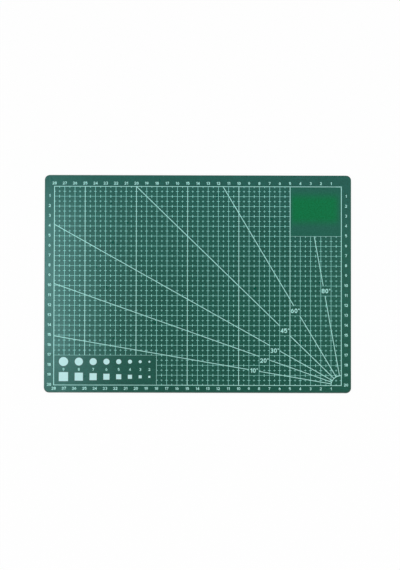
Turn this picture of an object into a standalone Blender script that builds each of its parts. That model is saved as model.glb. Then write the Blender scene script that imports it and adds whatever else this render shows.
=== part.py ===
"""Self healing cutting mat: five bonded plies with a measuring grid printed on the top one.

Lengths are metres and +Z is up. The origin lies under the middle of the mat, on the surface it rests on.
+X runs along the long side, and +Y across it towards the edge beside the label panel.
"""
import math

import bmesh
import bpy
from mathutils import Vector
from mathutils.geometry import delaunay_2d_cdt

MM = 0.001

# Grid of square cells inside the printed frame, counted from the corner where the angle lines start.
CELL = 10.0 * MM
COLUMNS = 28
ROWS = 20
HEAVY_EVERY = 5

# Bare border from the middle of the frame line to the cut edge, and the shape of that edge.
SIDE_BORDER = 9.5 * MM
TOP_BORDER = 11.5 * MM
BOTTOM_BORDER = 7.0 * MM
CORNER_RADIUS = 5.0 * MM
CORNER_STEPS = 10
EDGE_ROUND = 0.3 * MM
EDGE_STEPS = 2

# Plies of the laminate, and the adhesive that bonds each to the next.
SKIN_THICKNESS = 0.80 * MM
STIFFENER_THICKNESS = 0.30 * MM
CORE_THICKNESS = 0.72 * MM
BOND_LINE = 0.02 * MM

# Ink film and the widths of the printed lines.
INK_SEAT = 0.02 * MM
INK_THICKNESS = 0.05 * MM
FRAME_SIDE_LINE = 0.70 * MM
FRAME_LEVEL_LINE = 0.58 * MM
HEAVY_LINE = 0.66 * MM
PANEL_SIDE_LINE = 0.31 * MM
PANEL_LEVEL_LINE = 0.22 * MM
ANGLE_LINE = 0.66 * MM

# Angle lines in degrees, each broken where it crosses the cell (column, row) that holds its number.
ANGLE_LABEL_CELLS = {10: (8, 1), 20: (7, 2), 30: (6, 3), 45: (5, 5), 60: (4, 7), 80: (1, 9)}
ARC_RADIUS = 10.0 * MM
ARC_STEPS = 16

# Bare label panel in the corner above the angle lines.
LABEL_COLUMNS = 5
LABEL_ROWS = 5
LABEL_CLEARANCE = 0.3 * MM

# Gauge panel in the opposite lower corner: a row of discs over a row of squares of the same widths.
GAUGE_COUNT = 8
GAUGE_SMALLEST = 2.0 * MM
GAUGE_STEP = 1.0 * MM
GAUGE_GAP = 6.45 * MM
GAUGE_SIDE_SPACE = 5.0 * MM
GAUGE_FOOT_SPACE = 3.85 * MM
GAUGE_NUMBER_SPACE = 6.15 * MM
GAUGE_HEAD_SPACE = 1.5 * MM
DISC_SIDES = 32

# Sizes worked out from the ones above.
GRID_LENGTH = COLUMNS * CELL
GRID_WIDTH = ROWS * CELL
MAT_LENGTH = GRID_LENGTH + 2 * SIDE_BORDER
MAT_WIDTH = GRID_WIDTH + TOP_BORDER + BOTTOM_BORDER
LABEL_FOOT = GRID_WIDTH - LABEL_ROWS * CELL
LABEL_SIDE = LABEL_COLUMNS * CELL
GAUGE_WIDTHS = [GAUGE_SMALLEST + GAUGE_STEP * index for index in reversed(range(GAUGE_COUNT))]
GAUGE_LARGEST = GAUGE_WIDTHS[0]
SQUARE_ROW = GAUGE_FOOT_SPACE + GAUGE_LARGEST / 2
DISC_ROW = SQUARE_ROW + GAUGE_LARGEST + GAUGE_NUMBER_SPACE
GAUGE_ROW_LENGTH = sum(GAUGE_WIDTHS) + (GAUGE_COUNT - 1) * GAUGE_GAP + 2 * GAUGE_SIDE_SPACE
GAUGE_ROW_HEIGHT = DISC_ROW + GAUGE_LARGEST / 2 + GAUGE_HEAD_SPACE
GAUGE_COLUMNS = math.ceil(GAUGE_ROW_LENGTH / CELL)
GAUGE_ROWS = math.ceil(GAUGE_ROW_HEIGHT / CELL)
GAUGE_SIDE = GRID_LENGTH - GAUGE_COLUMNS * CELL
GAUGE_TOP = GAUGE_ROWS * CELL

# Surface colours, as sRGB values from 0 to 255, and their roughness.
SKIN_COLOUR = (40, 92, 80)
STIFFENER_COLOUR = (24, 58, 50)
CORE_COLOUR = (52, 66, 62)
INK_COLOUR = (187, 230, 231)
LABEL_COLOUR = (21, 109, 66)
SKIN_ROUGHNESS = 0.55
FILM_ROUGHNESS = 0.40
INK_ROUGHNESS = 0.50


def linear(channel):
    """Linear light of one sRGB value."""
    share = channel / 255
    if share <= 0.04045:
        return share / 12.92
    return ((share + 0.055) / 1.055) ** 2.4


def finish(name, colour, roughness):
    """Principled material of one piece."""
    material = bpy.data.materials.new(name + "_finish")
    material.use_nodes = True
    shader = material.node_tree.nodes["Principled BSDF"]
    shader.inputs["Base Color"].default_value = (*map(linear, colour), 1.0)
    shader.inputs["Roughness"].default_value = roughness
    shader.inputs["Metallic"].default_value = 0.0
    return material


def add_object(name, shape, parent, location, colour, roughness):
    """Puts a finished shape into the scene as one named piece under its parent."""
    mesh = bpy.data.meshes.new(name)
    shape.to_mesh(mesh)
    shape.free()
    mesh.materials.append(finish(name, colour, roughness))
    piece = bpy.data.objects.new(name, mesh)
    piece.parent = parent
    piece.location = location
    bpy.context.scene.collection.objects.link(piece)
    return piece


def add_empty(name, parent, location):
    """Adds a reference point that pieces are placed from."""
    empty = bpy.data.objects.new(name, None)
    empty.parent = parent
    empty.location = location
    bpy.context.scene.collection.objects.link(empty)
    return empty


def rounded_rectangle(length, width, radius, steps):
    """Outline of a centred rectangle with round corners, counter-clockwise."""
    points = []
    for quarter, (side_x, side_y) in enumerate(((1, 1), (-1, 1), (-1, -1), (1, -1))):
        centre_x = side_x * (length / 2 - radius)
        centre_y = side_y * (width / 2 - radius)
        for step in range(steps + 1):
            turn = (quarter + step / steps) * math.pi / 2
            points.append((centre_x + radius * math.cos(turn), centre_y + radius * math.sin(turn)))
    return points


def rectangle(low_x, low_y, high_x, high_y):
    """Outline of a rectangle between two corners, counter-clockwise."""
    return [(low_x, low_y), (high_x, low_y), (high_x, high_y), (low_x, high_y)]


def regular_polygon(diameter, sides):
    """Outline of a circle's polygon about the origin, counter-clockwise."""
    turns = [2 * math.pi * side / sides for side in range(sides)]
    return [(diameter / 2 * math.cos(turn), diameter / 2 * math.sin(turn)) for turn in turns]


def raised(shape, faces, thickness):
    """Turns flat faces into a closed solid of the given thickness above them."""
    grown = bmesh.ops.extrude_face_region(shape, geom=faces, use_keep_orig=True)
    lifted = [item for item in grown["geom"] if isinstance(item, bmesh.types.BMVert)]
    bmesh.ops.translate(shape, verts=lifted, vec=(0, 0, thickness))
    bmesh.ops.recalc_face_normals(shape, faces=shape.faces[:])


def plate(outline, thickness):
    """Solid of one outline standing on the level of its own origin."""
    shape = bmesh.new()
    face = shape.faces.new([shape.verts.new((x, y, 0)) for x, y in outline])
    raised(shape, [face], thickness)
    return shape


def ply(thickness, rounded_level=None):
    """One ply of the laminate, with its cut edge rounded at the level given."""
    shape = plate(rounded_rectangle(MAT_LENGTH, MAT_WIDTH, CORNER_RADIUS, CORNER_STEPS), thickness)
    if rounded_level is not None:
        rim = [edge for edge in shape.edges
               if all(math.isclose(vert.co.z, rounded_level, abs_tol=BOND_LINE / 2) for vert in edge.verts)]
        bmesh.ops.bevel(shape, geom=rim, offset=EDGE_ROUND, segments=EDGE_STEPS, profile=0.5,
                        affect="EDGES", clamp_overlap=True)
    return shape


def film(outlines, weld_mm=0.0001):
    """Ink film over the union of flat outlines, as one closed solid with coincident corners welded."""
    corners = []
    loops = []
    for outline in outlines:
        loops.append(list(range(len(corners), len(corners) + len(outline))))
        corners.extend(Vector((x / MM, y / MM)) for x, y in outline)
    points, _, triangles, _, _, owners = delaunay_2d_cdt(corners, [], loops, 1, weld_mm)
    shape = bmesh.new()
    verts = [shape.verts.new((point.x * MM, point.y * MM, 0)) for point in points]
    faces = [shape.faces.new([verts[corner] for corner in triangle])
             for triangle, owner in zip(triangles, owners) if owner]
    bmesh.ops.delete(shape, geom=[vert for vert in verts if not vert.link_faces], context="VERTS")
    raised(shape, faces, INK_THICKNESS)
    return shape


def stroke(start, end, width):
    """Outline of a straight printed line between two points."""
    run_x, run_y = end[0] - start[0], end[1] - start[1]
    length = math.hypot(run_x, run_y)
    side_x, side_y = -run_y / length * width / 2, run_x / length * width / 2
    return [(start[0] - side_x, start[1] - side_y), (end[0] - side_x, end[1] - side_y),
            (end[0] + side_x, end[1] + side_y), (start[0] + side_x, start[1] + side_y)]


def on_grid(left, up):
    """Point of the print, measured from the corner where the angle lines start."""
    return (-left, up)


def frame_strokes():
    """The four lines of the frame, each run on to the outer edges of the lines that it meets."""
    over = FRAME_SIDE_LINE / 2
    for up in (0, GRID_WIDTH):
        yield stroke(on_grid(-over, up), on_grid(GRID_LENGTH + over, up), FRAME_LEVEL_LINE)
    over = FRAME_LEVEL_LINE / 2
    for left in (0, GRID_LENGTH):
        yield stroke(on_grid(left, -over), on_grid(left, GRID_WIDTH + over), FRAME_SIDE_LINE)


def heavy_strokes():
    """Heavier upright lines, kept clear of the label panel and of the gauge panel."""
    for column in range(HEAVY_EVERY, COLUMNS, HEAVY_EVERY):
        left = column * CELL
        foot = GAUGE_TOP if left > GAUGE_SIDE else 0
        head = LABEL_FOOT if left < LABEL_SIDE else GRID_WIDTH
        yield stroke(on_grid(left, foot), on_grid(left, head), HEAVY_LINE)


def panel_strokes():
    """Lines that close the label panel and the gauge panel against the grid."""
    yield stroke(on_grid(0, LABEL_FOOT), on_grid(LABEL_SIDE, LABEL_FOOT), PANEL_LEVEL_LINE)
    yield stroke(on_grid(LABEL_SIDE, LABEL_FOOT), on_grid(LABEL_SIDE, GRID_WIDTH), PANEL_SIDE_LINE)
    yield stroke(on_grid(GRID_LENGTH, GAUGE_TOP), on_grid(GAUGE_SIDE, GAUGE_TOP), PANEL_LEVEL_LINE)
    yield stroke(on_grid(GAUGE_SIDE, GAUGE_TOP), on_grid(GAUGE_SIDE, 0), PANEL_SIDE_LINE)


def angle_reach(cosine, sine):
    """Length of an angle line from its corner to the frame, or to the label panel if that is nearer."""
    reach = min(GRID_LENGTH / cosine, GRID_WIDTH / sine)
    to_label = LABEL_FOOT / sine
    if to_label * cosine < LABEL_SIDE:
        reach = min(reach, to_label)
    return reach


def angle_strokes():
    """Lines of the angle fan, from the arc outwards, each left open in the cell of its number."""
    for degrees, (column, row) in ANGLE_LABEL_CELLS.items():
        cosine, sine = math.cos(math.radians(degrees)), math.sin(math.radians(degrees))
        entry = max(column * CELL / cosine, row * CELL / sine)
        leave = min((column + 1) * CELL / cosine, (row + 1) * CELL / sine)
        for start, end in ((ARC_RADIUS, entry), (leave, angle_reach(cosine, sine))):
            if end > start:
                ends = [on_grid(along * cosine, along * sine) for along in (start, end)]
                yield stroke(*ends, ANGLE_LINE)


def arc_outline():
    """Quarter ring about the corner of the angle fan, counter-clockwise."""
    outline = []
    for radius, steps in ((ARC_RADIUS - ANGLE_LINE / 2, range(ARC_STEPS + 1)),
                          (ARC_RADIUS + ANGLE_LINE / 2, reversed(range(ARC_STEPS + 1)))):
        for step in steps:
            turn = step / ARC_STEPS * math.pi / 2
            outline.append(on_grid(radius * math.cos(turn), radius * math.sin(turn)))
    return outline


def label_outline():
    """Label panel, clear of the lines round it."""
    left_clear = max(HEAVY_LINE, PANEL_SIDE_LINE) / 2 + LABEL_CLEARANCE
    foot_clear = PANEL_LEVEL_LINE / 2 + LABEL_CLEARANCE
    right_clear = FRAME_SIDE_LINE / 2 + LABEL_CLEARANCE
    head_clear = FRAME_LEVEL_LINE / 2 + LABEL_CLEARANCE
    low = on_grid(LABEL_SIDE - left_clear, LABEL_FOOT + foot_clear)
    high = on_grid(right_clear, GRID_WIDTH - head_clear)
    return rectangle(*low, *high)


def add_plies(mat):
    """Stacks the plies from the table up, and returns the level of the top face."""
    stack = (("bottom_skin", SKIN_THICKNESS, 0.0, SKIN_COLOUR, SKIN_ROUGHNESS),
             ("lower_stiffener", STIFFENER_THICKNESS, None, STIFFENER_COLOUR, FILM_ROUGHNESS),
             ("core", CORE_THICKNESS, None, CORE_COLOUR, SKIN_ROUGHNESS),
             ("upper_stiffener", STIFFENER_THICKNESS, None, STIFFENER_COLOUR, FILM_ROUGHNESS),
             ("top_skin", SKIN_THICKNESS, SKIN_THICKNESS, SKIN_COLOUR, SKIN_ROUGHNESS))
    level = -BOND_LINE
    for name, thickness, rounded_level, colour, roughness in stack:
        level += BOND_LINE
        add_object(name, ply(thickness, rounded_level), mat, (0, 0, level), colour, roughness)
        level += thickness
    return level


def add_gauges(corner):
    """Rows of ink discs and squares in falling widths, from the frame inwards."""
    edge = GRID_LENGTH - GAUGE_SIDE_SPACE
    for number, width in enumerate(GAUGE_WIDTHS, start=1):
        half = width / 2
        disc = plate(regular_polygon(width, DISC_SIDES), INK_THICKNESS)
        square = plate(rectangle(-half, -half, half, half), INK_THICKNESS)
        for name, shape, row in (("gauge_disc", disc, DISC_ROW), ("gauge_square", square, SQUARE_ROW)):
            place = (*on_grid(edge - half, row), 0)
            add_object(f"{name}_{number}", shape, corner, place, INK_COLOUR, INK_ROUGHNESS)
        edge -= width + GAUGE_GAP


def add_print(mat, top_face):
    """Ink on the top face, placed from the corner where the angle lines start."""
    place = (GRID_LENGTH / 2, BOTTOM_BORDER - MAT_WIDTH / 2, top_face + INK_SEAT)
    corner = add_empty("print_corner", mat, place)
    lines = film([*frame_strokes(), *heavy_strokes(), *panel_strokes(), *angle_strokes(), arc_outline()])
    label = plate(label_outline(), INK_THICKNESS)
    add_object("grid_frame_print", lines, corner, (0, 0, 0), INK_COLOUR, INK_ROUGHNESS)
    add_object("label_panel", label, corner, (0, 0, 0), LABEL_COLOUR, INK_ROUGHNESS)
    add_gauges(corner)


def main():
    """Builds the mat in an empty scene."""
    for old in list(bpy.data.objects):
        bpy.data.objects.remove(old)
    mat = add_empty("mat", None, (0, 0, 0))
    top_face = add_plies(mat)
    add_print(mat, top_face)


main()
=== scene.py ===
"""Looks of the self healing cutting mat: its pebbled plies, its printed scale and its light."""
import math

import bpy
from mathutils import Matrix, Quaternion, Vector
from mathutils.geometry import delaunay_2d_cdt


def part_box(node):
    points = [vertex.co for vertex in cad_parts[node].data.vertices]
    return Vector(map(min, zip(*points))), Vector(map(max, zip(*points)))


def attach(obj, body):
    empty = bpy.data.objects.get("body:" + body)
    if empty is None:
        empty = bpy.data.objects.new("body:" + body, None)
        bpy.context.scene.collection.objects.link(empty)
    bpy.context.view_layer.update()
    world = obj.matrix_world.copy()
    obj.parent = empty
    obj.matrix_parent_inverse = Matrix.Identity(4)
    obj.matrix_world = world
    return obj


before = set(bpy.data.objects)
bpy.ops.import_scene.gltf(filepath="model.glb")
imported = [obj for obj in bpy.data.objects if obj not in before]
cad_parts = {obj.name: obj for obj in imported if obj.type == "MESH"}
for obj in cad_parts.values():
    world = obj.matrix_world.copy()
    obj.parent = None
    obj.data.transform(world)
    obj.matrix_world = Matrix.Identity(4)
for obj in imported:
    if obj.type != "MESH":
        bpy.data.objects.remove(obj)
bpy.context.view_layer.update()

MM = 0.001

# Printed grid, counted in cells leftwards and upwards from the corner where the angle lines start.
CELL = 10.0 * MM
COLUMNS = 28
ROWS = 20
HEAVY_EVERY = 5
LABEL_COLUMNS = 5
LABEL_ROWS = 5
GAUGE_COLUMNS = 10
GAUGE_ROWS = 3
GAUGE_COUNT = 8
ANGLE_LABEL_CELLS = {10: (8, 1), 20: (7, 2), 30: (6, 3), 45: (5, 5), 60: (4, 7), 80: (1, 9)}

# Widths of the fine lines and of the half centimetre marks, and the lengths of the marks.
UPRIGHT_LINE = 0.385 * MM
LEVEL_LINE = 0.286 * MM
UPRIGHT_TICK = 0.55 * MM
LEVEL_TICK = 0.44 * MM
TICK_LENGTH = 2.85 * MM
CROSS_LINE = 0.32 * MM
CROSS_LENGTH = 2.2 * MM

# Thickness of the fine ink and its gap to the skin, and how its flat outlines are joined and filled.
INK_THICKNESS = 0.04 * MM
INK_GAP = 0.005 * MM
INK_WELD_MM = 0.0001
TRIANGLES_INSIDE = 1

# Heights of the printed numbers, and offsets of their middles from the frame, a cell or a gauge.
SCALE_DIGIT = 2.9 * MM
ANGLE_DIGIT = 4.5 * MM
GAUGE_DIGIT = 2.8 * MM
LEVEL_NUMBERS_OFF = 3.3 * MM
UPRIGHT_NUMBERS_OFF = 4.6 * MM
UPRIGHT_NUMBERS_LIFT = 0.6 * MM
ANGLE_NUMBERS_SHIFT = 0.1 * MM
GAUGE_NUMBERS_DROP = 0.25 * MM

# Degree mark, and the shape of the mark and of the digits, as shares of a digit's height.
DEGREE_MARK = "\N{DEGREE SIGN}"
DEGREE_SIZE = 0.34
DEGREE_LINE = 0.11
DIGIT_WIDTH = 0.66
DIGIT_LINE = 0.195
DIGIT_GAP = 0.12
DIGIT_BOWL = 0.29
DIGIT_HEAD_BOWL = 0.185
ONE_FLAG = 0.26
FOUR_BAR = 0.30
FOUR_STEM = 0.09
SEVEN_FOOT = 0.14

# Stretches of the digits' curves, in degrees from the right, and the turn of each step along them.
TWO_HEAD = (165, -30)
THREE_HEAD = (150, -105)
THREE_FOOT = (105, -150)
FIVE_BOWL = (150, -150)
SIX_CROOK = (180, 105)
CURVE_STEP = 15.0

# Place of the printed grid, from the frame.
PRINT_LOW, PRINT_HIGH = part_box("grid_frame_print")
GRID_MIDDLE = (PRINT_LOW + PRINT_HIGH) / 2
GRID_RIGHT = GRID_MIDDLE.x + COLUMNS * CELL / 2
GRID_BOTTOM = GRID_MIDDLE.y - ROWS * CELL / 2
TOP_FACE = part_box("top_skin")[1].z
INK_FOOT = TOP_FACE + INK_GAP

# Colours as sRGB values from 0 to 255.
SKIN_DEEP = (0, 69, 53)
SKIN_BASE = (2, 78, 62)
SKIN_PALE = (6, 95, 78)
# Painted shade for the valleys of the skin's pebble.
PAINTED_VALLEY_SHADE = (0, 58, 44)
SKIN_CUT = (16, 60, 50)
STIFFENER_DARK = (20, 48, 42)
STIFFENER_PALE = (34, 68, 60)
CORE_DARK = (44, 56, 52)
CORE_PALE = (66, 80, 75)
FINE_INK_FULL = (152, 222, 212)
FINE_INK_THIN = (126, 199, 188)
HEAVY_INK_FULL = (172, 229, 220)
HEAVY_INK_THIN = (145, 208, 196)
SOLID_INK_FULL = (191, 232, 231)
SOLID_INK_THIN = (178, 222, 220)
LABEL_GREEN_DEEP = (1, 106, 56)
LABEL_GREEN_PALE = (3, 120, 69)
LABEL_FADED_DEEP = (30, 91, 74)
LABEL_FADED_PALE = (38, 103, 86)
FLOOR_WHITE = (250, 251, 251)

# Gloss of each surface. The skin's roughness varies between two values.
SKIN_ROUGHNESS = (0.24, 0.36)
SKIN_SPECULAR = 0.36
FILM_ROUGHNESS = 0.4
CORE_ROUGHNESS = 0.6
PLY_SPECULAR = 0.3
INK_ROUGHNESS = 0.35
INK_SPECULAR = 0.4
LABEL_ROUGHNESS = 0.3
LABEL_SPECULAR = 0.12

# Moulded pebble: grains in a metre, their softness and depth, and how strongly each surface shows them.
PEBBLES = 2400.0
PEBBLE_SMOOTHNESS = 0.5
PEBBLE_DEPTH = 0.05 * MM
SKIN_PEBBLE = 0.5
INK_PEBBLE = 0.3
CUT_PEBBLE = 0.25

# Noise of each kind, as features in a metre and layers of detail, with the roughness of the layers and
# the scaling that draws streaks out along a cut.
CLOUD_NOISE = (22.0, 3.0)
GLOSS_NOISE = (90.0, 2.0)
MOTTLE_NOISE = (700.0, 4.0)
WEAR_NOISE = (850.0, 4.0)
STREAK_NOISE = (900.0, 3.0)
NOISE_ROUGHNESS = 0.55
STREAK_STRETCH = (0.06, 0.06, 4.0)

# Levels between which one tone gives way to the next: of noise, of the distance from the middle of a
# pebble's grain, which sets the painted shade in its valleys, and of how level a surface lies. The
# painted shade of the valleys is mixed in up to a share.
CLOUD_LEVELS = (0.3, 0.7)
MOTTLE_LEVELS = (0.3, 0.7)
WEAR_LEVELS = (0.52, 0.8)
STREAK_LEVELS = (0.25, 0.75)
PAINTED_SHADE_LEVELS = (0.25, 0.7)
CUT_LEVELS = (0.1, 0.9)
PAINTED_SHADE_SHARE = 0.5

# Where the label's print is gone and where it is whole, as shares of its width and of its height.
LABEL_SIDE_FADES = ((-0.03, 0.08), (1.05, 0.84))
LABEL_END_FADES = ((0.15, 0.40), (0.96, 0.70))

# Camera, as a long lens that looks down on the mat from its near long side, at about the grid's middle.
# It sees nothing that is farther away than its reach.
LENS_MM = 1000.0
CAMERA_ELEVATION = math.radians(75.57)
CAMERA_ROLL = math.radians(0.14)
CAMERA_DISTANCE = 15.436
CAMERA_REACH = 4 * CAMERA_DISTANCE
AIM_RIGHT = 2.24 * MM
AIM_FAR = 0.79 * MM
CAMERA_AIM = Vector((GRID_MIDDLE.x + AIM_RIGHT, GRID_MIDDLE.y + AIM_FAR, TOP_FACE))

# Light: an even sky, a soft key at each side, and three tinted strips that the mat reflects to the camera
# as a sheen along its left edge and fainter ones along its right edge and towards its far edge.
WHITE_LIGHT = (1.0, 1.0, 1.0, 1.0)
SKY_STRENGTH = 0.35
KEY_POWER = 131.0
KEY_SIZE = (4.8, 4.8)
KEY_SIDE = 2.6
KEY_FRONT = 2.0
KEY_HEIGHT = 4.8
SHEENS = {
    "left_sheen": {"colour": (0.50, 0.93, 1.0), "power": 0.39, "size": (0.05, 0.2), "distance": 0.28,
                   "target": Vector((-0.162, -0.022, TOP_FACE))},
    "right_sheen": {"colour": (0.40, 1.0, 0.80), "power": 0.06, "size": (0.05, 0.2), "distance": 0.28,
                    "target": Vector((0.164, -0.01, TOP_FACE))},
    "far_sheen": {"colour": (0.34, 0.84, 1.0), "power": 0.56, "size": (0.5, 0.1), "distance": 0.6,
                  "target": Vector((0.0, 0.16, TOP_FACE))},
}

# Floor: its width, its gap to the mat, and the share of plain white that the camera sees in it.
FLOOR_SPAN = 24.0
FLOOR_DROP = 0.05 * MM
FLOOR_GLOW = 0.95


# Ink films

def on_grid(left, up):
    """Point of the print, measured in metres from the corner where the angle lines start."""
    return (GRID_RIGHT - left, GRID_BOTTOM + up)


def on_cells(column, row):
    """Point of the print, counted in cells from the same corner."""
    return on_grid(column * CELL, row * CELL)


def ribbon(path, width):
    """Outline of a printed line of one width along a smooth path."""
    right, left = [], []
    for index, (x, y) in enumerate(path):
        before = path[max(index - 1, 0)]
        after = path[min(index + 1, len(path) - 1)]
        run_x, run_y = after[0] - before[0], after[1] - before[1]
        reach = width / 2 / math.hypot(run_x, run_y)
        right.append((x + run_y * reach, y - run_x * reach))
        left.append((x - run_y * reach, y + run_x * reach))
    return right + left[::-1]


def stroke(start, end, width):
    """Outline of a straight printed line between two points."""
    return ribbon([start, end], width)


def raise_film(points, triangles):
    """Corners and faces of a closed film over flat triangles: its foot, its top and its walls."""
    levels = (INK_FOOT, INK_FOOT + INK_THICKNESS)
    corners = [(point.x * MM, point.y * MM, level) for level in levels for point in points]
    lift = len(points)
    faces = [triangle[::-1] for triangle in triangles]
    faces += [[corner + lift for corner in triangle] for triangle in triangles]
    edges = {(triangle[side - 1], triangle[side]) for triangle in triangles for side in range(3)}
    for start, end in sorted(edges):
        if (end, start) not in edges:
            faces.append([start, end, end + lift, start + lift])
    return corners, faces


def film(outlines):
    """Corners and faces of an ink film over the union of flat outlines, joined in millimetres."""
    corners, loops = [], []
    for outline in outlines:
        loops.append(list(range(len(corners), len(corners) + len(outline))))
        corners.extend(Vector((x / MM, y / MM)) for x, y in outline)
    points, _, triangles, _, _, owners = delaunay_2d_cdt(
        corners, [], loops, TRIANGLES_INSIDE, INK_WELD_MM)
    covered = [triangle for triangle, owner in zip(triangles, owners) if owner]
    return raise_film(points, covered)


def add_print(name, outlines, material):
    """Prints outlines on the mat as one piece of ink."""
    corners, faces = film(outlines)
    mesh = bpy.data.meshes.new(name)
    mesh.from_pydata(corners, [], faces)
    mesh.materials.append(material)
    piece = bpy.data.objects.new(name, mesh)
    bpy.context.scene.collection.objects.link(piece)
    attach(piece, "root")


# Fine lines and marks

def upright_span(column):
    """Rows between which an upright line runs, clear of the two open panels."""
    foot = GAUGE_ROWS if column >= COLUMNS - GAUGE_COLUMNS else 0
    head = ROWS - LABEL_ROWS if column < LABEL_COLUMNS else ROWS
    return foot, head


def level_span(row):
    """Columns between which a level line runs, clear of the two open panels."""
    right = LABEL_COLUMNS if row >= ROWS - LABEL_ROWS else 0
    left = COLUMNS - GAUGE_COLUMNS if row <= GAUGE_ROWS else COLUMNS
    return right, left


def line_strokes():
    """Fine lines of the grid, apart from the heavy ones."""
    for column in range(1, COLUMNS):
        if column % HEAVY_EVERY:
            foot, head = upright_span(column)
            yield stroke(on_cells(column, foot), on_cells(column, head), UPRIGHT_LINE)
    for row in range(1, ROWS):
        right, left = level_span(row)
        yield stroke(on_cells(right, row), on_cells(left, row), LEVEL_LINE)


def is_marked(column, row):
    """Whether a cell holds half centimetre marks, and not a number or part of an open panel."""
    inside = 0 <= column < COLUMNS and 0 <= row < ROWS
    in_label = column < LABEL_COLUMNS and row >= ROWS - LABEL_ROWS
    in_gauge = column >= COLUMNS - GAUGE_COLUMNS and row < GAUGE_ROWS
    numbered = (column, row) in ANGLE_LABEL_CELLS.values()
    return inside and not in_label and not in_gauge and not numbered


def tick_span(line, marked_before, marked_after):
    """Stretch of a tick across a line, in cells, on those sides of it whose cells are marked."""
    reach = TICK_LENGTH / 2 / CELL
    return line - reach * marked_before, line + reach * marked_after


def tick_strokes():
    """Ticks across the lines of the grid, halfway between the lines that cross them."""
    for column in range(COLUMNS + 1):
        for row in range(ROWS):
            start, end = tick_span(column, is_marked(column - 1, row), is_marked(column, row))
            if end > start:
                yield stroke(on_cells(start, row + 0.5), on_cells(end, row + 0.5), LEVEL_TICK)
    for row in range(ROWS + 1):
        for column in range(COLUMNS):
            start, end = tick_span(row, is_marked(column, row - 1), is_marked(column, row))
            if end > start:
                yield stroke(on_cells(column + 0.5, start), on_cells(column + 0.5, end), UPRIGHT_TICK)


def cross_strokes():
    """Small crosses in the middles of the cells."""
    reach = CROSS_LENGTH / 2 / CELL
    for column in range(COLUMNS):
        for row in range(ROWS):
            if is_marked(column, row):
                left, up = column + 0.5, row + 0.5
                yield stroke(on_cells(left - reach, up), on_cells(left + reach, up), CROSS_LINE)
                yield stroke(on_cells(left, up - reach), on_cells(left, up + reach), CROSS_LINE)


# Numbers

def arc(centre, radii, start, end):
    """Points along an ellipse between two angles in degrees."""
    steps = math.ceil(abs(end - start) / CURVE_STEP)
    turns = [math.radians(start + (end - start) * step / steps) for step in range(steps + 1)]
    (x, y), (wide, high) = centre, radii
    return [(x + wide * math.cos(turn), y + high * math.sin(turn)) for turn in turns]


def ring(centre, radii):
    """A whole ellipse, as two arcs that overlap a little."""
    return [arc(centre, radii, start, start + 180 + CURVE_STEP) for start in (0, 180)]


def digit_paths():
    """Middle lines of the pen strokes of the ten digits, each one unit tall and starting at x = 0."""
    left = low = DIGIT_LINE / 2
    right, high = DIGIT_WIDTH - left, 1 - low
    middle, half = DIGIT_WIDTH / 2, DIGIT_WIDTH / 2 - left
    foot_bowl = (high - low) / 2 - DIGIT_HEAD_BOWL
    stem = right - FOUR_STEM
    bowl = (middle, low + DIGIT_BOWL), (half, DIGIT_BOWL)
    crown = (middle, high - DIGIT_BOWL), (half, DIGIT_BOWL)
    head = (middle, high - DIGIT_HEAD_BOWL), (half, DIGIT_HEAD_BOWL)
    foot = (middle, low + foot_bowl), (half, foot_bowl)
    crook = (right, low + DIGIT_BOWL), (right - left, high - low - DIGIT_BOWL)
    paths = {
        "0": ring((middle, 0.5), (half, high - 0.5)),
        "1": [[(middle, 0), (middle, 1)], [(left, high - ONE_FLAG), (middle, high)]],
        "2": [[*arc(*crown, *TWO_HEAD), (left, low)], [(0, low), (DIGIT_WIDTH, low)]],
        "3": [arc(*head, *THREE_HEAD), arc(*foot, *THREE_FOOT)],
        "4": [[(stem, 0), (stem, 1)], [(stem, high), (left, FOUR_BAR)],
              [(0, FOUR_BAR), (DIGIT_WIDTH, FOUR_BAR)]],
        "5": [[(left, high), (right, high)], [(left, 1), (left, low + DIGIT_BOWL)],
              arc(*bowl, *FIVE_BOWL)],
        "6": [*ring(*bowl), arc(*crook, *SIX_CROOK)],
        "7": [[(0, high), (DIGIT_WIDTH, high)], [(right, high), (left + SEVEN_FOOT, low / 2)]],
        "8": [*ring(*head), *ring(*foot)],
    }
    paths["9"] = [[(DIGIT_WIDTH - x, 1 - y) for x, y in path] for path in paths["6"]]
    return paths


def glyph_outlines():
    """Outlines of the digits and of the degree mark, one unit tall."""
    glyphs = {}
    for digit, paths in digit_paths().items():
        glyphs[digit] = [ribbon(path, DIGIT_LINE) for path in paths]
    radius = (DEGREE_SIZE - DEGREE_LINE) / 2
    halves = ring((DEGREE_SIZE / 2, 1 - DEGREE_SIZE / 2), (radius, radius))
    glyphs[DEGREE_MARK] = [ribbon(half, DEGREE_LINE) for half in halves]
    return glyphs


GLYPHS = glyph_outlines()


def number_outlines(text, centre, height):
    """Outlines of a number with its middle at a point."""
    widths = [max(x for outline in GLYPHS[glyph] for x, _ in outline) for glyph in text]
    pen = centre[0] - height * (sum(widths) + DIGIT_GAP * (len(text) - 1)) / 2
    foot = centre[1] - height / 2
    outlines = []
    for glyph, width in zip(text, widths):
        for outline in GLYPHS[glyph]:
            outlines.append([(pen + x * height, foot + y * height) for x, y in outline])
        pen += height * (width + DIGIT_GAP)
    return outlines


def scale_numbers():
    """Outlines of the centimetre numbers along the four sides of the frame."""
    outlines = []
    for number in range(1, COLUMNS + 1):
        for up in (-LEVEL_NUMBERS_OFF, ROWS * CELL + LEVEL_NUMBERS_OFF):
            outlines += number_outlines(str(number), on_grid(number * CELL, up), SCALE_DIGIT)
    for number in range(1, ROWS + 1):
        up = (ROWS - number) * CELL + UPRIGHT_NUMBERS_LIFT
        for left in (-UPRIGHT_NUMBERS_OFF, COLUMNS * CELL + UPRIGHT_NUMBERS_OFF):
            outlines += number_outlines(str(number), on_grid(left, up), SCALE_DIGIT)
    return outlines


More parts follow.
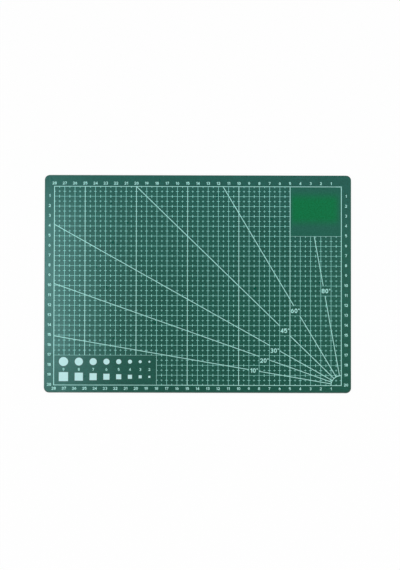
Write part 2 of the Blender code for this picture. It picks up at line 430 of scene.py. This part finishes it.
def angle_numbers():
    """Outlines of the angle lines' degrees, each in the cell where its line is open."""
    outlines = []
    for degrees, (column, row) in ANGLE_LABEL_CELLS.items():
        centre = on_grid((column + 0.5) * CELL - ANGLE_NUMBERS_SHIFT, (row + 0.5) * CELL)
        outlines += number_outlines(f"{degrees}{DEGREE_MARK}", centre, ANGLE_DIGIT)
    return outlines


def gauge_numbers():
    """Outlines of the widths in millimetres, each between a disc and its square."""
    outlines = []
    for index in range(1, GAUGE_COUNT + 1):
        disc_low, disc_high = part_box(f"gauge_disc_{index}")
        square_low, square_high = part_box(f"gauge_square_{index}")
        middle = ((disc_low + disc_high) / 2 + (square_low + square_high) / 2) / 2
        width = round((disc_high.x - disc_low.x) / MM)
        outlines += number_outlines(str(width), (middle.x, middle.y - GAUGE_NUMBERS_DROP), GAUGE_DIGIT)
    return outlines


# Materials

def linear(colour):
    """Linear colour with full alpha of an sRGB value from 0 to 255, by the sRGB curve."""
    shares = [channel / 255 for channel in colour]
    lit = [share / 12.92 if share <= 0.04045 else ((share + 0.055) / 1.055) ** 2.4 for share in shares]
    return (*lit, 1.0)


def add_node(tree, kind, values=None, **settings):
    """Adds a shader node with its settings and the values of its inputs."""
    made = tree.nodes.new(kind)
    for name, setting in settings.items():
        setattr(made, name, setting)
    for name, value in (values or {}).items():
        made.inputs[name].default_value = value
    return made


def new_material(name, specular):
    """Material with a Principled shader, its tree, its shader and its object coordinates."""
    material = bpy.data.materials.new(name)
    material.use_nodes = True
    tree = material.node_tree
    shader = tree.nodes["Principled BSDF"]
    shader.inputs["Specular IOR Level"].default_value = specular
    place = tree.nodes.new("ShaderNodeTexCoord").outputs["Object"]
    return material, tree, shader, place


def noise(tree, place, scale, detail):
    """Noise between 0 and 1, with a number of features in a metre and of layers of detail."""
    made = add_node(tree, "ShaderNodeTexNoise",
                    {"Scale": scale, "Detail": detail, "Roughness": NOISE_ROUGHNESS})
    tree.links.new(place, made.inputs["Vector"])
    return made.outputs["Fac"]


def ease(tree, value, start, end):
    """Goes smoothly from 0 to 1 while a value goes from start to end."""
    made = add_node(tree, "ShaderNodeMapRange", {"From Min": start, "From Max": end},
                    interpolation_type="SMOOTHSTEP")
    tree.links.new(value, made.inputs["Value"])
    return made.outputs["Result"]


def spread(tree, share, low, high):
    """Spreads a share from 0 to 1 evenly over the values from low to high."""
    made = add_node(tree, "ShaderNodeMapRange", {"To Min": low, "To Max": high})
    tree.links.new(share, made.inputs["Value"])
    return made.outputs["Result"]


def product(tree, first, second):
    """Multiplies two values."""
    made = add_node(tree, "ShaderNodeMath", operation="MULTIPLY")
    tree.links.new(first, made.inputs[0])
    tree.links.new(second, made.inputs[1])
    return made.outputs["Value"]


def socket(sockets, identifier):
    """Socket of a node that has several of one name."""
    return next(one for one in sockets if one.identifier == identifier)


def blend(tree, share, first, second):
    """Mixes two colours, each an sRGB value or the output of a node."""
    made = add_node(tree, "ShaderNodeMix", data_type="RGBA")
    tree.links.new(share, made.inputs["Factor"])
    for identifier, colour in (("A_Color", first), ("B_Color", second)):
        if isinstance(colour, tuple):
            socket(made.inputs, identifier).default_value = linear(colour)
        else:
            tree.links.new(colour, socket(made.inputs, identifier))
    return socket(made.outputs, "Result_Color")


def pebble(tree, shader, place, strength):
    """Adds the bump of a fine moulded pebble, and gives the distance from the middle of each grain."""
    grains = add_node(tree, "ShaderNodeTexVoronoi", {"Scale": PEBBLES, "Smoothness": PEBBLE_SMOOTHNESS},
                      feature="SMOOTH_F1")
    tree.links.new(place, grains.inputs["Vector"])
    bump = add_node(tree, "ShaderNodeBump", {"Strength": strength, "Distance": PEBBLE_DEPTH},
                    invert=True)
    tree.links.new(grains.outputs["Distance"], bump.inputs["Height"])
    tree.links.new(bump.outputs["Normal"], shader.inputs["Normal"])
    return grains.outputs["Distance"]


def mottle(tree, place, deep, pale):
    """Fine uneven tone of filled PVC, between two colours."""
    spots = ease(tree, noise(tree, place, *MOTTLE_NOISE), *MOTTLE_LEVELS)
    return blend(tree, spots, deep, pale)


def levelness(tree):
    """How level the surface lies, from 0 on an upright edge to 1 on a flat face."""
    facing = add_node(tree, "ShaderNodeSeparateXYZ")
    geometry = add_node(tree, "ShaderNodeNewGeometry")
    tree.links.new(geometry.outputs["Normal"], facing.inputs["Vector"])
    unsigned = add_node(tree, "ShaderNodeMath", operation="ABSOLUTE")
    tree.links.new(facing.outputs["Z"], unsigned.inputs[0])
    return unsigned.outputs["Value"]


def skin_material():
    """Soft green PVC with a fine pebble whose valleys get a painted shade, cloudy in tone, and duller
    where it is cut.
    """
    material, tree, shader, place = new_material("green_skin", SKIN_SPECULAR)
    clouds = ease(tree, noise(tree, place, *CLOUD_NOISE), *CLOUD_LEVELS)
    tone = mottle(tree, place, blend(tree, clouds, SKIN_DEEP, SKIN_BASE), SKIN_PALE)
    # Painted shade: the pebble's valleys are darkened in the colour itself.
    painted_shade = ease(tree, pebble(tree, shader, place, SKIN_PEBBLE), *PAINTED_SHADE_LEVELS)
    tone = blend(tree, spread(tree, painted_shade, 0.0, PAINTED_SHADE_SHARE), tone, PAINTED_VALLEY_SHADE)
    tone = blend(tree, ease(tree, levelness(tree), *CUT_LEVELS), SKIN_CUT, tone)
    tree.links.new(tone, shader.inputs["Base Color"])
    roughness = spread(tree, noise(tree, place, *GLOSS_NOISE), *SKIN_ROUGHNESS)
    tree.links.new(roughness, shader.inputs["Roughness"])
    return material


def ply_material(name, dark, pale, roughness):
    """Inner ply, whose cut edge shows faint streaks along the cut."""
    material, tree, shader, place = new_material(name, PLY_SPECULAR)
    shader.inputs["Roughness"].default_value = roughness
    stretch = add_node(tree, "ShaderNodeMapping", {"Scale": STREAK_STRETCH})
    tree.links.new(place, stretch.inputs["Vector"])
    streaks = ease(tree, noise(tree, stretch.outputs["Vector"], *STREAK_NOISE), *STREAK_LEVELS)
    tree.links.new(blend(tree, streaks, dark, pale), shader.inputs["Base Color"])
    pebble(tree, shader, place, CUT_PEBBLE)
    return material


def ink_material(name, full, thin):
    """Screen print, a little thin in places."""
    material, tree, shader, place = new_material(name, INK_SPECULAR)
    shader.inputs["Roughness"].default_value = INK_ROUGHNESS
    wear = ease(tree, noise(tree, place, *WEAR_NOISE), *WEAR_LEVELS)
    tree.links.new(blend(tree, wear, full, thin), shader.inputs["Base Color"])
    pebble(tree, shader, place, INK_PEBBLE)
    return material


def label_fades(tree, place):
    """Fades of the label's print towards its four edges, each from 0 to 1."""
    low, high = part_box("label_panel")
    split = add_node(tree, "ShaderNodeSeparateXYZ")
    tree.links.new(place, split.inputs["Vector"])
    sides = ("X", low.x, high.x, LABEL_SIDE_FADES)
    ends = ("Y", low.y, high.y, LABEL_END_FADES)
    for axis, start, end, stretches in (sides, ends):
        share = add_node(tree, "ShaderNodeMapRange", {"From Min": start, "From Max": end}, clamp=False)
        tree.links.new(split.outputs[axis], share.inputs["Value"])
        for faded_at, full_at in stretches:
            yield ease(tree, share.outputs["Result"], faded_at, full_at)


def label_material():
    """Brighter green print that fades into the skin's green towards the panel's edges."""
    material, tree, shader, place = new_material("label_ink", LABEL_SPECULAR)
    shader.inputs["Roughness"].default_value = LABEL_ROUGHNESS
    cover, *others = label_fades(tree, place)
    for fade in others:
        cover = product(tree, cover, fade)
    faded = mottle(tree, place, LABEL_FADED_DEEP, LABEL_FADED_PALE)
    green = mottle(tree, place, LABEL_GREEN_DEEP, LABEL_GREEN_PALE)
    tree.links.new(blend(tree, cover, faded, green), shader.inputs["Base Color"])
    pebble(tree, shader, place, SKIN_PEBBLE)
    return material


def floor_material():
    """Pale floor that the camera sees as white, with the object's shadow on it."""
    material = bpy.data.materials.new("floor")
    material.use_nodes = True
    tree = material.node_tree
    tree.nodes.clear()
    matt = add_node(tree, "ShaderNodeBsdfDiffuse", {"Color": linear(FLOOR_WHITE)})
    glow = add_node(tree, "ShaderNodeEmission", {"Color": WHITE_LIGHT, "Strength": 1.0})
    seen = add_node(tree, "ShaderNodeLightPath")
    rays = seen.outputs["Is Camera Ray"]
    for kind in ("Is Glossy Ray", "Is Transmission Ray"):
        either = add_node(tree, "ShaderNodeMath", operation="MAXIMUM")
        tree.links.new(rays, either.inputs[0])
        tree.links.new(seen.outputs[kind], either.inputs[1])
        rays = either.outputs["Value"]
    share = add_node(tree, "ShaderNodeMath", {1: FLOOR_GLOW}, operation="MULTIPLY")
    tree.links.new(rays, share.inputs[0])
    mix = add_node(tree, "ShaderNodeMixShader")
    tree.links.new(share.outputs["Value"], mix.inputs["Fac"])
    tree.links.new(matt.outputs["BSDF"], mix.inputs[1])
    tree.links.new(glow.outputs["Emission"], mix.inputs[2])
    out = add_node(tree, "ShaderNodeOutputMaterial")
    tree.links.new(mix.outputs["Shader"], out.inputs["Surface"])
    return material


# Scene

def set_material(node, material):
    """Replaces the material of one node of the frame."""
    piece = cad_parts[node]
    piece.data.materials.clear()
    piece.data.materials.append(material)


def dress_plies():
    """Gives each ply of the laminate its finish."""
    skin = skin_material()
    stiffener = ply_material("stiffener_film", STIFFENER_DARK, STIFFENER_PALE, FILM_ROUGHNESS)
    set_material("top_skin", skin)
    set_material("upper_stiffener", stiffener)
    set_material("core", ply_material("core_ply", CORE_DARK, CORE_PALE, CORE_ROUGHNESS))
    set_material("lower_stiffener", stiffener)
    set_material("bottom_skin", skin)


def dress_print():
    """Inks the printed nodes, and adds the fine print."""
    fine_ink = ink_material("fine_ink", FINE_INK_FULL, FINE_INK_THIN)
    heavy_ink = ink_material("heavy_ink", HEAVY_INK_FULL, HEAVY_INK_THIN)
    solid_ink = ink_material("solid_ink", SOLID_INK_FULL, SOLID_INK_THIN)
    set_material("grid_frame_print", heavy_ink)
    set_material("label_panel", label_material())
    for index in range(1, GAUGE_COUNT + 1):
        set_material(f"gauge_disc_{index}", solid_ink)
        set_material(f"gauge_square_{index}", solid_ink)
    add_print("centimetre_lines", [*line_strokes(), *tick_strokes()], fine_ink)
    add_print("half_centimetre_marks", cross_strokes(), fine_ink)
    add_print("scale_numbers", scale_numbers(), heavy_ink)
    add_print("angle_numbers", angle_numbers(), heavy_ink)
    add_print("gauge_numbers", gauge_numbers(), heavy_ink)


def add_floor():
    """Lays the plain floor under the mat."""
    half = FLOOR_SPAN / 2
    mesh = bpy.data.meshes.new("floor")
    corners = [(-half, -half, 0), (half, -half, 0), (half, half, 0), (-half, half, 0)]
    mesh.from_pydata(corners, [], [(0, 1, 2, 3)])
    mesh.materials.append(floor_material())
    floor = bpy.data.objects.new("floor", mesh)
    floor.location.z = -FLOOR_DROP
    bpy.context.scene.collection.objects.link(floor)


def aim(thing, place, target, roll=0.0):
    """Puts a lamp or camera at a place, looking at a target, and rolled about that line of sight."""
    thing.location = place
    turn = (target - place).to_track_quat("-Z", "Y") @ Quaternion((0, 0, 1), roll)
    thing.rotation_euler = turn.to_euler()
    bpy.context.scene.collection.objects.link(thing)


def add_lamp(name, power, size, place, target):
    """Adds an area lamp that the camera doesn't see."""
    lamp = bpy.data.lights.new(name, "AREA")
    lamp.shape = "RECTANGLE"
    lamp.size, lamp.size_y = size
    lamp.energy = power
    holder = bpy.data.objects.new(name, lamp)
    holder.visible_camera = False
    aim(holder, place, target)
    return holder


def add_sheen(name, colour, power, size, distance, target):
    """Adds a strip lamp whose reflection reaches the camera from about a target on the mat."""
    mirrored = Vector((0, math.cos(CAMERA_ELEVATION), math.sin(CAMERA_ELEVATION)))
    strip = add_lamp(name, power, size, target + mirrored * distance, target)
    strip.visible_diffuse = False
    strip.data.color = colour


def add_lights():
    """Lights the mat evenly from the sky and from both sides, with a sheen along three of its edges."""
    world = bpy.data.worlds.new("sky")
    world.use_nodes = True
    sky = world.node_tree.nodes["Background"]
    sky.inputs["Color"].default_value = WHITE_LIGHT
    sky.inputs["Strength"].default_value = SKY_STRENGTH
    bpy.context.scene.world = world
    for side in (-KEY_SIDE, KEY_SIDE):
        add_lamp("key", KEY_POWER, KEY_SIZE, Vector((side, -KEY_FRONT, KEY_HEIGHT)), Vector((0, 0, 0)))
    for name, settings in SHEENS.items():
        add_sheen(name, **settings)


def add_camera():
    """Looks at the mat as the photograph does."""
    camera = bpy.data.cameras.new("camera")
    camera.lens = LENS_MM
    camera.clip_end = CAMERA_REACH
    holder = bpy.data.objects.new("camera", camera)
    back = Vector((0, -math.cos(CAMERA_ELEVATION), math.sin(CAMERA_ELEVATION)))
    aim(holder, CAMERA_AIM + back * CAMERA_DISTANCE, CAMERA_AIM, CAMERA_ROLL)
    bpy.context.scene.camera = holder


dress_plies()
dress_print()
add_floor()
add_lights()
add_camera()
bpy.context.scene.view_settings.view_transform = "Standard"
